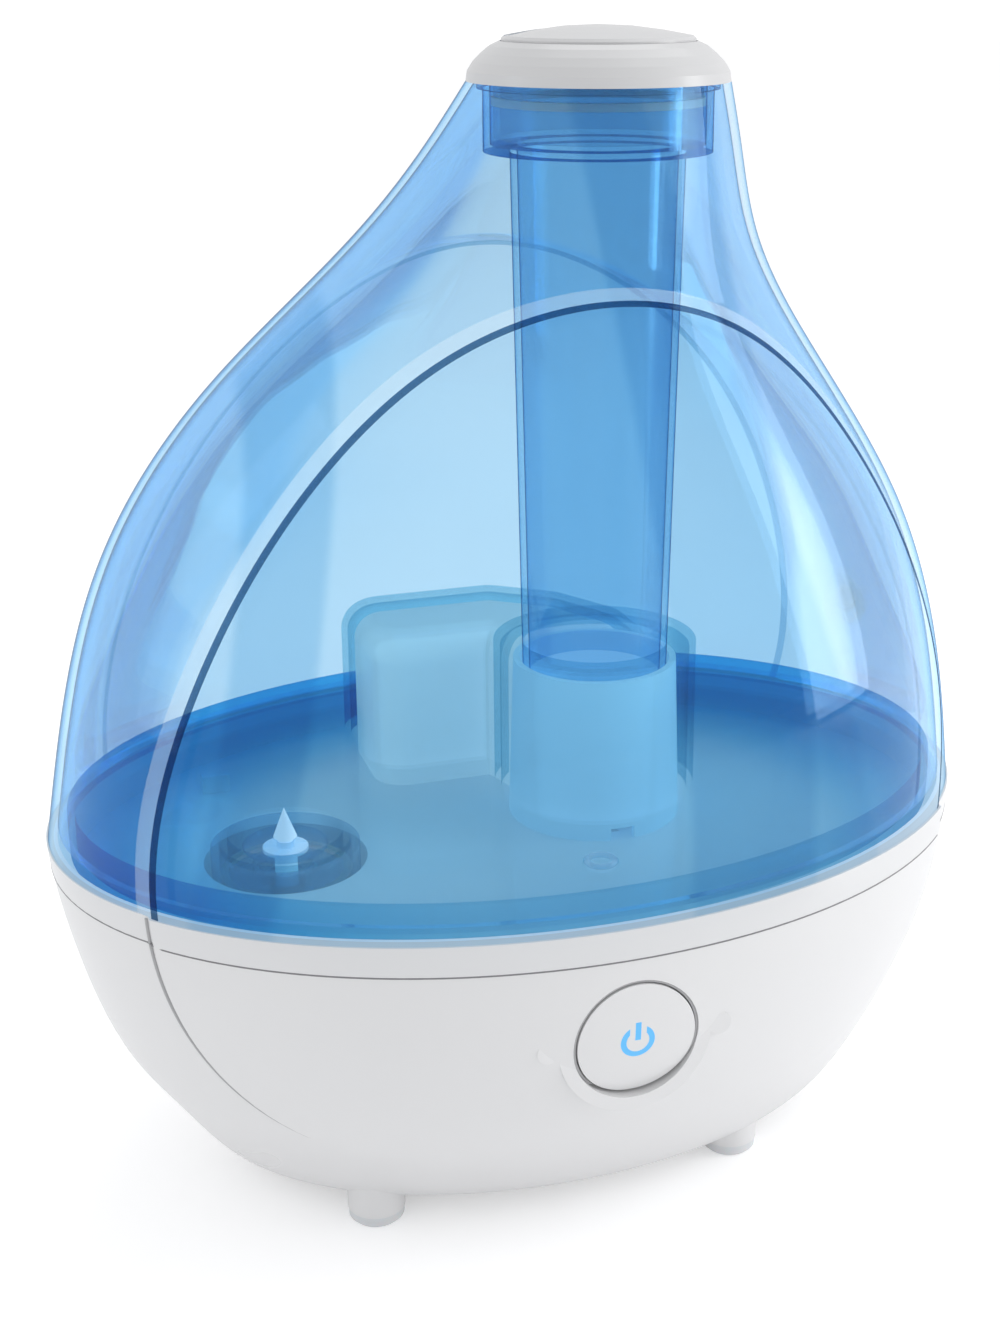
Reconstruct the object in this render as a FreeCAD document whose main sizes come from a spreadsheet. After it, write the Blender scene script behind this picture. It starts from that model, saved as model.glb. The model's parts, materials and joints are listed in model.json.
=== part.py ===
"""Cool mist humidifier: a clear oval water tank on a white base, with a round mist nozzle.

A parametric FreeCAD document in millimetres. +Z is up, the front faces -Y, and the origin is
on the surface that the feet stand on, under the middle of the oval body.
"""
import FreeCAD
import Part
import Sketcher
import math
import os
from FreeCAD import Placement, Rotation, Vector

DIMENSIONS = {
    # heights of the main levels
    "foot_t": 3.0, "base_z": 5.0, "parting_z": 85.4, "seam_z": 91.4,
    "floor_z": 82.2, "rim_z": 258.9,
    # walls and gaps
    "tank_wall": 2.0, "base_wall": 2.4, "panel_step": 1.2,
    # raised front and back panels: an egg outline, seen from the front
    "panel_x": 1.1, "panel_z": 120.9, "panel_half_width": 92.4, "panel_half_height": 97.4,
    "panel_taper": 0.21, "panel_bulge": 0.05, "panel_lean": 7.0,
    # neck, mist tube and collar, all on one axis
    "neck_x": 21.1, "neck_r": 29.7, "cup_r": 26.0, "cup_wall": 1.6, "cup_floor_z": 243.5,
    "tube_top_r": 20.0, "tube_low_r": 17.6, "tube_wall": 1.6, "tube_end_z": 118.0,
    "collar_foot_r": 21.2, "collar_top_r": 20.0, "collar_wall": 1.6, "collar_top_z": 122.4,
    "ledge_z": 111.0, "ledge_t": 1.6, "ledge_r": 14.6,
    # air duct beside the collar
    "duct_left": -27.0, "duct_front": 27.0, "duct_back": 60.0, "duct_top_z": 120.7,
    "duct_round": 8.0, "duct_wall": 1.8, "pocket_gap": 1.8, "pocket_wall": 1.6,
    # tank bottom
    "pan_a": 107.2, "pan_b": 75.2, "pan_wall": 1.6, "plate_z": 87.4, "plate_t": 1.8, "skirt_z": 97.7,
    "pocket_r": 23.2, "pocket_top_z": 127.0, "seat_ledge_z": 93.6, "seat_gap": 0.1,
    "mark_x": 6.2, "mark_y": -46.3, "mark_r": 4.1, "mark_t": 1.2, "mark_hollow_r": 2.4,
    # basin
    "hollow_top_a": 109.8, "hollow_top_b": 77.6, "hollow_low_a": 106.8, "hollow_low_b": 74.6,
    "deck_a": 109.0, "deck_b": 76.8, "deck_low_z": 80.2, "deck_gap": 0.2,
    "key_x": -71.0, "key_y": 38.0, "key_long": 7.0, "key_wide": 4.0, "key_t": 4.6,
    "pit_r": 16.5, "pit_wall": 2.0, "pit_floor_z": 73.0, "pit_low_z": 69.0,
    "well_x": -58.2, "well_y": -4.9, "well_r": 19.3, "well_wall": 2.0, "well_floor_z": 65.0,
    "post_r": 3.0, "post_top_z": 71.0,
    "float_x": 46.0, "float_y": 50.0, "float_pit_r": 10.0, "float_pit_wall": 1.6,
    "float_floor_z": 71.0, "float_r": 8.6, "float_bore_r": 3.0, "float_t": 6.8, "float_post_r": 2.4,
    # filler cap and its valve
    "filler_neck_r": 13.6, "filler_neck_wall": 1.8, "filler_neck_z": 79.4,
    "cap_r": 17.6, "cap_wall": 1.9, "cap_low_z": 76.4, "cap_top_z": 86.0, "seal_t": 1.0,
    "seat_r": 6.5, "seat_wall": 1.5, "seat_top_z": 81.2, "hub_r": 4.2,
    "stem_r": 2.7, "stem_neck_r": 1.9, "stem_low_z": 71.3, "stem_flange_r": 4.4, "stem_flange_t": 1.2,
    "stem_collar_r": 5.4, "stem_collar_t": 0.9,
    "disc_z": 85.3, "disc_t": 1.5, "disc_r": 10.0, "tip_r": 2.8, "tip_base_z": 87.8, "tip_z": 95.2,
    # transducer
    "seal_low_z": 69.0, "piezo_r": 10.0, "piezo_t": 1.2, "clamp_r": 16.0, "clamp_t": 3.0,
    # nozzle
    "nozzle_top_z": 271.0, "nozzle_ring_r": 22.0, "spigot_r": 23.6, "spigot_wall": 1.6, "spigot_low_z": 246.5,
    # button
    "button_x": 0.8, "button_z": 66.5, "button_r": 13.4, "button_hole_r": 14.3, "button_flange_r": 15.5,
    "button_stock_y": -95.0, "button_boss_y": -83.4, "button_boss_r": 17.4, "icon_r": 3.9, "icon_line": 1.3,
    "board_post_gap": 19.5,
    # fan
    "fan_x": -6.0, "fan_y": 42.0, "fan_side": 40.0, "fan_t": 15.0, "fan_top_z": 75.0, "fan_bore_r": 18.7,
    "fan_cup_r": 9.0, "fan_shaft_r": 1.5, "fan_blade_r": 17.9,
    "fan_arm_t": 1.4, "blade_t": 1.1, "blade_wide": 8.6,
    # electronics
    "board_left": -12.0, "board_front": -20.0, "board_long": 52.0, "board_wide": 36.0,
    "board_z": 16.0, "board_t": 1.6, "sink_x": 6.0, "sink_y": 4.0, "sink_high": 18.0,
    "coil_x": -3.0, "coil_y": -3.0, "coil_r": 5.0, "coil_wire_r": 2.3, "socket_side": 6.0,
    "jack_x": 20.0, "jack_z": 30.0, "jack_bore_r": 3.1, "jack_face_y": 61.6,
    # feet and fasteners
    "foot_x": 45.6, "foot_y": 34.0, "foot_r": 6.6, "foot_boss_r": 6.9, "column_r": 4.0, "column_low_z": 16.0,
    "cover_a": 64.0, "cover_b": 34.0, "cover_t": 2.2,
}

# Sections of the oval body: height, left end, right end, half depth.
TANK_SECTIONS = [
    (91.4, -112.0, 112.0, 79.8),
    (125.0, -105.6, 106.5, 81.0),
    (162.0, -92.4, 95.0, 70.0),
    (195.5, -67.0, 74.2, 57.2),
    (225.5, -35.0, 57.3, 43.0),
    (245.5, -17.9, 53.2, 34.6),
    (258.9, -8.6, 50.8, 29.6),
]
BASE_SECTIONS = [
    (5.0, -71.5, 79.5, 43.5),
    (10.0, -78.6, 85.6, 50.5),
    (20.0, -86.2, 91.6, 58.8),
    (38.5, -98.3, 97.9, 73.0),
    (62.0, -107.0, 105.5, 82.8),
    (78.0, -110.6, 110.0, 83.6),
    (91.4, -112.4, 112.4, 80.4),
]
SECTION_FIELDS = ("z", "left", "right", "depth")
SHEET_NAME = "Dimensions"
UP = Vector(0, 0, 1)
WIDE = 300.0

doc = FreeCAD.newDocument("CoolMistHumidifier")
sheet = doc.addObject("Spreadsheet::Sheet", SHEET_NAME)
parts = []


def section_cells(prefix, sections):
    """Cell names and values of a list of sections, such as tank_left_3."""
    return {
        "%s_%s_%d" % (prefix, field, index + 1): value
        for index, section in enumerate(sections)
        for field, value in zip(SECTION_FIELDS, section)
    }


DIMENSIONS.update(section_cells("tank", TANK_SECTIONS))
DIMENSIONS.update(section_cells("base", BASE_SECTIONS))


def fill_sheet():
    """One row for each dimension: its name, and its value with the name as alias."""
    for row, (name, value) in enumerate(DIMENSIONS.items(), start=1):
        sheet.set("A%d" % row, name)
        sheet.set("B%d" % row, str(value))
        sheet.setAlias("B%d" % row, name)
    doc.recompute()


def number(text):
    """The value of a sum of cells and numbers, such as "seam_z - tank_wall"."""
    total = 0.0
    sign = 1.0
    for word in str(text).split():
        if word in "+-":
            sign = -1.0 if word == "-" else 1.0
        else:
            total += sign * (DIMENSIONS[word] if word in DIMENSIONS else float(word))
    return total


def formula(text):
    """The same sum as an expression that reads the sheet."""
    words = [SHEET_NAME + "." + word if word in DIMENSIONS else word for word in str(text).split()]
    return " ".join(words)


def bind(item, name, text):
    """Bind one property of an object to the sheet."""
    item.setExpression(name, formula(text))


def place(item, x=0, y=0, z=0, axis=UP, angle=0):
    """Put an object at a bound place, turned by a fixed angle."""
    item.Placement = Placement(Vector(number(x), number(y), number(z)), Rotation(axis, angle))
    for letter, text in zip("xyz", (x, y, z)):
        bind(item, ".Placement.Base." + letter, text)
    return item


def part(item, label):
    """Name an object as a finished sub-part."""
    item.Label = label
    parts.append(item)
    return item


def box(x, y, z, long, wide, high, axis=UP, angle=0):
    """A block from its low corner and its three sizes."""
    item = doc.addObject("Part::Box", "Box")
    for name, text in (("Length", long), ("Width", wide), ("Height", high)):
        bind(item, name, text)
    return place(item, x, y, z, axis, angle)


def rod(x, y, z, radius, high, axis=UP, angle=0):
    """A cylinder from its foot, along Z unless it is turned."""
    item = doc.addObject("Part::Cylinder", "Rod")
    bind(item, "Radius", radius)
    bind(item, "Height", high)
    return place(item, x, y, z, axis, angle)


def rod_back(x, y, z, radius, long):
    """A cylinder that runs along +Y from its front end."""
    return rod(x, y, z, radius, long, Vector(1, 0, 0), -90)


def fuse(*items):
    """Several solids as one."""
    joined = doc.addObject("Part::MultiFuse", "Fuse")
    joined.Shapes = list(items)
    joined.Refine = False
    return joined


def cut(base, *tools):
    """A solid with one or more others taken away."""
    result = doc.addObject("Part::Cut", "Cut")
    result.Base = base
    result.Tool = tools[0] if len(tools) == 1 else fuse(*tools)
    return result


def common(first, second):
    """Where two solids overlap."""
    shared = doc.addObject("Part::MultiCommon", "Common")
    shared.Shapes = [first, second]
    return shared


def group(label, items):
    """Separate solids kept in one sub-part."""
    bundle = doc.addObject("Part::Compound", "Group")
    bundle.Links = items
    return part(bundle, label)


def oval(z, left, right, depth, grow="0"):
    """An ellipse across the body, grown by a bound amount."""
    ellipse = doc.addObject("Part::Ellipse", "Oval")
    ellipse.setExpression("MajorRadius", "(%s - (%s)) / 2 + (%s)" % tuple(map(formula, (right, left, grow))))
    bind(ellipse, "MinorRadius", "%s + %s" % (depth, grow))
    ellipse.setExpression(".Placement.Base.x", "(%s + (%s)) / 2" % (formula(right), formula(left)))
    bind(ellipse, ".Placement.Base.z", z)
    return ellipse


def loft(sections):
    """A solid through a stack of ellipses."""
    solid = doc.addObject("Part::Loft", "Loft")
    solid.Sections = sections
    solid.Solid = True
    solid.Ruled = len(sections) == 2
    return solid


def centred_oval(z, half_width, half_depth):
    """An ellipse centred on the body."""
    ellipse = doc.addObject("Part::Ellipse", "Oval")
    bind(ellipse, "MajorRadius", half_width)
    bind(ellipse, "MinorRadius", half_depth)
    bind(ellipse, ".Placement.Base.z", z)
    return ellipse


def oval_block(low_z, high_z, low_a, low_b, high_a, high_b):
    """A tapered block with an oval outline, centred on the body."""
    return loft([centred_oval(low_z, low_a, low_b), centred_oval(high_z, high_a, high_b)])


def oval_column(low_z, high_z, half_width, half_depth):
    """An upright block with an oval outline, centred on the body."""
    return oval_block(low_z, high_z, half_width, half_depth, half_width, half_depth)


def body_loft(prefix, count, grow, first=1, low_z=None, high_z=None):
    """The oval body through its numbered sections, grown by a bound amount."""
    ovals = []
    for index in range(first, count + 1):
        names = ["%s_%s_%d" % (prefix, field, index) for field in SECTION_FIELDS]
        if low_z and index == first:
            names[0] = low_z
        if high_z and index == count:
            names[0] = high_z
        ovals.append(oval(*names, grow=grow))
    return loft(ovals)


def egg_points(count):
    """Points on the egg outline of the raised panels, in the XZ plane."""
    points = []
    for index in range(count):
        turn = 2 * math.pi * index / count
        rise = math.sin(turn)
        taper = 1 - DIMENSIONS["panel_taper"] * rise + DIMENSIONS["panel_bulge"] * rise ** 2
        x = DIMENSIONS["panel_x"] + DIMENSIONS["panel_lean"] * rise
        x += DIMENSIONS["panel_half_width"] * math.cos(turn) * taper
        points.append(Vector(x, 0, DIMENSIONS["panel_z"] + DIMENSIONS["panel_half_height"] * rise))
    return points


def egg_prism():
    """The egg outline run through the body from front to back."""
    curve = Part.BSplineCurve()
    curve.interpolate(Points=egg_points(20), PeriodicFlag=True)
    face = Part.Face(Part.Wire([curve.toShape()]))
    item = doc.addObject("Part::Feature", "EggPrism")
    item.Shape = face.extrude(Vector(0, WIDE, 0))
    item.Placement = Placement(Vector(0, -WIDE / 2, 0), Rotation())
    return item


def level_slab(low_z, high_z):
    """A wide slab between two levels, to cut the body with."""
    return box(-WIDE / 2, -WIDE / 2, low_z, WIDE, WIDE, "%s - %s" % (high_z, low_z))


def origin_plane(body, role):
    """One of a body's own origin planes."""
    return next(item for item in body.Origin.OriginFeatures if item.Role == role)


def draw_outline(sketch, points):
    """A closed outline of straight edges, with each corner bound to the sheet."""
    count = len(points)
    corners = [Vector(number(across), number(up), 0) for across, up in points]
    for index in range(count):
        sketch.addGeometry(Part.LineSegment(corners[index], corners[(index + 1) % count]), False)
    for index in range(count):
        sketch.addConstraint(Sketcher.Constraint("Coincident", index, 2, (index + 1) % count, 1))
    for index, (across, up) in enumerate(points):
        if number(across) == 0:
            sketch.addConstraint(Sketcher.Constraint("PointOnObject", index, 1, -2))
        else:
            sketch.addConstraint(Sketcher.Constraint("DistanceX", -1, 1, index, 1, corners[index].x))
            sketch.setExpression("Constraints[%d]" % (sketch.ConstraintCount - 1), formula(across))
        sketch.addConstraint(Sketcher.Constraint("DistanceY", -1, 1, index, 1, corners[index].y))
        sketch.setExpression("Constraints[%d]" % (sketch.ConstraintCount - 1), formula(up))


def sketch_on(body, role, points):
    """A sketch of one closed outline on a body's own origin plane."""
    sketch = body.newObject("Sketcher::SketchObject", "Outline")
    sketch.AttachmentSupport = (origin_plane(body, role), [""])
    sketch.MapMode = "FlatFace"
    draw_outline(sketch, points)
    return sketch


def turned(points, x="neck_x", y="0", z="0"):
    """A body turned about an upright axis from an outline of radius and height."""
    body = doc.addObject("PartDesign::Body", "Turned")
    sketch = sketch_on(body, "XZ_Plane", points)
    turning = body.newObject("PartDesign::Revolution", "Revolution")
    turning.Profile = sketch
    turning.ReferenceAxis = (sketch, ["V_Axis"])
    turning.Angle = 360
    sketch.Visibility = False
    return place(body, x, y, z)


def ring(inner, outer, low_z, high_z, x="neck_x", y="0"):
    """A flat ring or sleeve, turned."""
    return turned([(inner, low_z), (outer, low_z), (outer, high_z), (inner, high_z)], x, y)


def screw(x, y, z, head_r, head_t, shank_r, shank, up=True):
    """A screw whose head's outer face is at z, pointing up or down."""
    if up:
        return fuse(rod(x, y, z, head_r, head_t), rod(x, y, "%s + %s" % (z, head_t), shank_r, shank))
    head = rod(x, y, "%s - %s" % (z, head_t), head_r, head_t)
    return fuse(head, rod(x, y, "%s - %s - %s" % (z, head_t, shank), shank_r, shank))


def foot_places():
    """The four feet, named from the front."""
    return {
        "front_left": ("0 - foot_x", "0 - foot_y"),
        "front_right": ("foot_x", "0 - foot_y"),
        "back_left": ("0 - foot_x", "foot_y"),
        "back_right": ("foot_x", "foot_y"),
    }


def duct_plan(grow):
    """The air duct's outline in plan with round corners, grown by a distance."""
    left = DIMENSIONS["duct_left"]
    front = DIMENSIONS["duct_front"]
    back = DIMENSIONS["duct_back"]
    round_r = DIMENSIONS["duct_round"]
    corners = [(left, front), (2, front), (8, 8), (38, 8), (38, 30), (28, 48), (12, back), (left, back)]
    wire = Part.makePolygon([Vector(x, y, 0) for x, y in corners + corners[:1]])
    shrunk = Part.Face(wire).makeOffset2D(-round_r)
    return shrunk.makeOffset2D(round_r + grow)


def duct_block(name, grow, low, high, top_round):
    """The air duct's outline as a block, its top edge rounded."""
    plan = duct_plan(grow)
    plan.translate(Vector(0, 0, low))
    block = plan.extrude(Vector(0, 0, high - low))
    top_edges = [edge for edge in block.Edges if edge.BoundBox.ZMin > high - 0.01]
    item = doc.addObject("Part::Feature", name)
    item.Shape = block.makeFillet(top_round, top_edges)
    return item


def lead(label, points, radius, bend):
    """An insulated lead: straight runs joined by arcs, as one tube."""
    corners = [Vector(*point) for point in points]
    edges = []
    start = corners[0]
    for index in range(1, len(corners) - 1):
        before = (corners[index - 1] - corners[index]).normalize()
        after = (corners[index + 1] - corners[index]).normalize()
        half_turn = (math.pi - before.getAngle(after)) / 2
        reach = bend * math.tan(half_turn)
        enter = corners[index] + before * reach
        leave = corners[index] + after * reach
        inward = (before + after).normalize()
        centre = corners[index] + inward * (bend / math.cos(half_turn))
        middle = centre - inward * bend
        edges.append(Part.LineSegment(start, enter).toShape())
        edges.append(Part.Arc(enter, middle, leave).toShape())
        start = leave
    edges.append(Part.LineSegment(start, corners[-1]).toShape())
    path = Part.Wire(edges)
    circle = Part.Circle(corners[0], corners[1] - corners[0], radius)
    item = doc.addObject("Part::Feature", "Lead")
    item.Shape = path.makePipeShell([Part.Wire([circle.toShape()])], True, True)
    return part(item, label)


def make_tank(panel):
    """The clear shell, its bottom pan with the pocket, and the tube through it."""
    plain = body_loft("tank", 7, "0")
    raised = common(body_loft("tank", 7, "panel_step"), panel)
    outer = common(fuse(plain, raised), level_slab("seam_z", "rim_z"))
    inner = body_loft("tank", 7, "0 - tank_wall", low_z="seat_ledge_z", high_z="rim_z + 1")
    foot_hole = oval_column("seam_z - 1", "seat_ledge_z + 1", "pan_a + seat_gap", "pan_b + seat_gap")
    part(cut(outer, inner, foot_hole), "tank_shell")
    make_tank_bottom()
    part(turned([
        ("cup_r + 1.3", "rim_z"), ("cup_r + 1.3", "rim_z - 1.6"), ("cup_r", "rim_z - 1.6"),
        ("cup_r", "cup_floor_z"), ("tube_top_r", "cup_floor_z"), ("tube_low_r", "tube_end_z"),
        ("tube_low_r - tube_wall", "tube_end_z"), ("tube_top_r - tube_wall", "cup_floor_z + cup_wall"),
        ("cup_r - cup_wall", "cup_floor_z + cup_wall"), ("cup_r - cup_wall", "rim_z"),
    ]), "mist_tube")


def make_tank_bottom():
    """A pan with a raised pocket over the collar and air duct, and a filler neck."""
    pan = oval_column("plate_z", "skirt_z", "pan_a", "pan_b")
    pan_inside = oval_column("plate_z + plate_t", "skirt_z + 1", "pan_a - pan_wall", "pan_b - pan_wall")
    wall = DIMENSIONS["pocket_wall"]
    gap = DIMENSIONS["pocket_gap"]
    low = DIMENSIONS["plate_z"]
    duct_top = DIMENSIONS["duct_top_z"] + gap
    pocket_round = rod("neck_x", 0, "plate_z", "pocket_r + pocket_wall", "pocket_top_z - plate_z")
    pocket_duct = duct_block("PocketDuct", gap + wall, low, duct_top + wall, 7)
    neck_high = "plate_z - filler_neck_z + 0.5"
    neck = rod("well_x", "well_y", "filler_neck_z", "filler_neck_r + filler_neck_wall", neck_high)
    mark = rod("mark_x", "mark_y", "plate_z", "mark_r", "plate_t + mark_t")
    solid = fuse(cut(pan, pan_inside), pocket_round, pocket_duct, neck, mark)
    hollow_round = rod("neck_x", 0, "plate_z - 1", "pocket_r", "pocket_top_z - plate_z - pocket_wall + 1")
    hollow_duct = duct_block("PocketDuctHollow", gap, low - 1, duct_top, 6)
    tube_hole = rod("neck_x", 0, "plate_z", "tube_low_r + 0.4", "pocket_top_z - plate_z + 1")
    hole_high = "plate_z + plate_t - filler_neck_z + 2"
    neck_hole = rod("well_x", "well_y", "filler_neck_z - 1", "filler_neck_r", hole_high)
    dimple = rod("mark_x", "mark_y", "plate_z + plate_t + 0.2", "mark_hollow_r", "mark_t + 1")
    part(cut(solid, hollow_round, hollow_duct, tube_hole, neck_hole, dimple), "tank_bottom")


def make_filler():
    """Screw cap of the filler neck, with a spring valve that the base's post holds open."""
    at = ("well_x", "well_y")
    shell = turned([
        ("seat_r", "cap_low_z"), ("cap_r", "cap_low_z"), ("cap_r", "cap_top_z"),
        ("cap_r - cap_wall", "cap_top_z"), ("cap_r - cap_wall", "cap_low_z + 2"),
        ("seat_r + seat_wall", "cap_low_z + 2"),
        ("seat_r + seat_wall", "seat_top_z"), ("seat_r", "seat_top_z"),
    ], *at)
    webs = [
        box("well_x", "well_y", "cap_low_z", "seat_r + 0.6", 1.4, 2, UP, 60 + 120 * index)
        for index in range(3)
    ]
    hub = rod(*at, "cap_low_z", "hub_r", 2)
    part(cut(fuse(shell, hub, *webs), rod(*at, "cap_low_z - 1", "stem_r + 0.1", 4)), "filler_cap")
    seal = ring("filler_neck_r", "cap_r - cap_wall - 0.1", "filler_neck_z - seal_t", "filler_neck_z", *at)
    part(seal, "filler_seal")
    part(turned([
        ("0", "tip_z"), ("tip_r", "tip_base_z"), ("stem_neck_r", "tip_base_z - 0.4"),
        ("stem_neck_r", "disc_z"),
        ("stem_collar_r", "disc_z"), ("stem_collar_r", "disc_z - stem_collar_t"),
        ("stem_r", "disc_z - stem_collar_t"),
        ("stem_r", "stem_low_z + stem_flange_t"), ("stem_flange_r", "stem_low_z + stem_flange_t"),
        ("stem_flange_r", "stem_low_z"), ("0", "stem_low_z"),
    ], *at), "valve_stem")
    part(turned([
        ("stem_neck_r + 0.05", "disc_z"), ("disc_r", "disc_z"), ("disc_r", "disc_z + 0.8"),
        ("stem_neck_r + 0.05", "disc_z + disc_t"),
    ], *at), "valve_disc")
    coils = ring("stem_r + 0.4", "stem_flange_r - 0.2", "stem_low_z + stem_flange_t", "cap_low_z", *at)
    part(coils, "valve_spring")


def make_nozzle():
    """The domed ring in the neck, the raised disc with the mist outlet, and the sleeve below."""
    part(turned([
        ("neck_r", "rim_z"), ("neck_r - 0.3", "rim_z + 2.2"), ("neck_r - 1.6", "rim_z + 4.2"),
        ("neck_r - 3.4", "rim_z + 6"), ("neck_r - 5.4", "rim_z + 7.6"), ("neck_r - 7.6", "rim_z + 8.6"),
        ("nozzle_ring_r", "rim_z + 8.6"), ("nozzle_ring_r", "rim_z + 6.4"),
        ("nozzle_ring_r + 2.4", "rim_z + 5.4"), ("neck_r - 3", "rim_z + 2.4"), ("neck_r - 3", "rim_z"),
    ]), "nozzle_ring")
    disc = turned([
        ("0", "nozzle_top_z"), ("8", "nozzle_top_z - 0.4"), ("15", "nozzle_top_z - 1.3"),
        ("nozzle_ring_r - 0.9", "nozzle_top_z - 2.4"), ("nozzle_ring_r - 0.3", "nozzle_top_z - 3"),
        ("nozzle_ring_r - 0.3", "rim_z + 6.6"), ("0", "rim_z + 7.6"),
    ])
    outlet = box("neck_x - 20", 1.5, "rim_z + 5", 13, 6.4, 12, UP, 14)
    part(cut(disc, outlet), "nozzle_disc")
    part(turned([
        ("spigot_r - spigot_wall", "spigot_low_z"), ("spigot_r", "spigot_low_z"), ("spigot_r", "rim_z - 5.4"),
        ("spigot_r - 0.9", "rim_z - 5.4"), ("spigot_r - 0.9", "rim_z - 3.2"), ("spigot_r", "rim_z - 3.2"),
        ("spigot_r", "rim_z + 0.2"), ("neck_r - 3.1", "rim_z + 0.2"), ("neck_r - 3.1", "rim_z + 2.2"),
        ("spigot_r - spigot_wall", "rim_z + 6"),
    ]), "nozzle_spigot")
    part(ring("spigot_r - 0.8", "spigot_r + 0.5", "rim_z - 5.2", "rim_z - 3.4"), "spigot_seal")


def make_basin(base_outer):
    """The rim band, water basin, float pit and under-floor columns, as one moulding."""
    band = common(base_outer, level_slab("parting_z", "seam_z"))
    deck = oval_column("deck_low_z", "parting_z + 0.5", "deck_a", "deck_b")
    float_pit = rod("float_x", "float_y", "float_floor_z - 2", "float_pit_r + float_pit_wall",
                    "deck_low_z - float_floor_z + 3")
    column_high = "deck_low_z - column_low_z + 1"
    columns = [rod(x, y, "column_low_z", "column_r", column_high) for x, y in foot_places().values()]
    solid = fuse(band, deck, float_pit, *columns)
    low_oval = ("hollow_low_a", "hollow_low_b")
    hollow = oval_block("floor_z", "seam_z + 0.1", *low_oval, "hollow_top_a", "hollow_top_b")
    column_holes = [rod(x, y, "column_low_z - 1", 1.6, 13) for x, y in foot_places().values()]
    hollowed = cut(
        solid, hollow,
        rod("neck_x", 0, "deck_low_z - 1", "pit_r", 20),
        rod("well_x", "well_y", "deck_low_z - 1", "well_r", 20),
        rod("float_x", "float_y", "float_floor_z", "float_pit_r", 20),
        box(-21, 33, "deck_low_z - 1", 30, 22, 5),
        *column_holes)
    float_post = rod("float_x", "float_y", "float_floor_z - 1", "float_post_r", 12.2)
    key_rib = box("key_x", "key_y", "floor_z - 1", "key_long", "key_wide", "key_t + 1")
    part(fuse(hollowed, float_post, key_rib), "basin")


def make_cups():
    """The two cups and the fan mount that are bonded under the basin floor."""
    pit = rod("neck_x", 0, "pit_low_z", "pit_r + pit_wall", "deck_low_z - pit_low_z")
    pit_hollow = rod("neck_x", 0, "pit_floor_z", "pit_r", 20)
    bore = rod("neck_x", 0, "pit_low_z - 1", 8.2, 20)
    seal_seat = rod("neck_x", 0, "seal_low_z - 1", 12.5, 3.6)
    clamp_holes = [rod(x, y, "pit_low_z - 1", 1.0, 3.6) for x, y in clamp_screw_places()]
    part(cut(pit, pit_hollow, bore, seal_seat, *clamp_holes), "transducer_cup")
    at = ("well_x", "well_y")
    well = rod(*at, "well_floor_z - 2", "well_r + well_wall", "deck_low_z - well_floor_z + 2")
    post = rod(*at, "well_floor_z - 1", "post_r", "post_top_z - well_floor_z + 1")
    part(fuse(cut(well, rod(*at, "well_floor_z", "well_r", 30)), post), "valve_cup")
    skirt = cut(box(-25, 24, "fan_top_z + 0.4", 38, 36, "deck_low_z - fan_top_z - 0.4"),
                box(-23, 26, "fan_top_z", 34, 32, 8))
    posts = [rod(x, y, "fan_top_z", 2.9, "deck_low_z - fan_top_z") for x, y in fan_screw_places()]
    holes = [rod(x, y, "fan_top_z - 1", 1.3, 5.4) for x, y in fan_screw_places()]
    part(cut(fuse(skirt, *posts), *holes), "fan_mount")


def fan_screw_places():
    """The fan's four corner screws."""
    return [("fan_x + %d" % x, "fan_y + %d" % y) for x in (-16, 16) for y in (-16, 16)]


def clamp_screw_places():
    """Three screws around the transducer clamp."""
    places = []
    for index in range(3):
        turn = math.radians(30 + 120 * index)
        places.append(("neck_x + %.2f" % (14.0 * math.cos(turn)), "%.2f" % (14.0 * math.sin(turn))))
    return places


def cover_screw_places():
    """Four screws through the bottom cover's edge."""
    return [(-58.5, 0), (58.5, 0), (0, -29), (0, 29)]


def board_post_places():
    """The two posts beside the button that hold its board."""
    return ["button_x - board_post_gap", "button_x + board_post_gap"]


def make_housing(base_outer):
    """The white bowl, with bosses for the feet, the button and the power inlet."""
    bowl = common(base_outer, level_slab("base_z", "parting_z"))
    inside = body_loft("base", 7, "0 - base_wall", first=2, low_z="base_z + 4.4")
    cover_hole = oval_column("base_z - 1", "base_z + 9", "cover_a - 3", "cover_b - 3")
    bosses = [rod(x, y, "foot_t", "foot_boss_r", 13) for x, y in foot_places().values()]
    lugs = [rod(x, y, "base_z + cover_t", 4.4, 7) for x, y in cover_screw_places()]
    button_boss = rod_back("button_x", "button_boss_y", "button_z", "button_boss_r", 7.4)
    board_posts = [rod_back(x, "button_boss_y", "button_z", 2.6, 15.7) for x in board_post_places()]
    jack_boss = common(base_outer, rod_back("jack_x", "jack_face_y - 3.6", "jack_z", 8.4, 20))
    solid = fuse(cut(bowl, inside, cover_hole), *bosses, *lugs, button_boss, *board_posts, jack_boss)
    cover_seat = oval_column("base_z - 1", "base_z + cover_t", "cover_a + 0.2", "cover_b + 0.2")
    rebate_size = ("deck_a + deck_gap", "deck_b + deck_gap")
    deck_rebate = oval_column("deck_low_z - deck_gap", "parting_z + 1", *rebate_size)
    cuts = [
        rod_back("button_x", "button_stock_y", "button_z", "button_hole_r", 30),
        rod_back("button_x", -79.4, "button_z", "button_flange_r + 0.4", 6),
        rod_back("jack_x", 50, "jack_z", 5.2, 30),
        cover_seat,
        deck_rebate,
    ]
    for x, y in foot_places().values():
        cuts.append(rod(x, y, 0, 3.3, 8))
        cuts.append(rod(x, y, 0, 1.8, 20))
    for x, y in cover_screw_places():
        cuts.append(rod(x, y, "base_z", 1.45, 8))
    for x in board_post_places():
        cuts.append(rod_back(x, -74, "button_z", 1.0, 10))
    part(cut(solid, *cuts), "base_housing")


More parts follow.
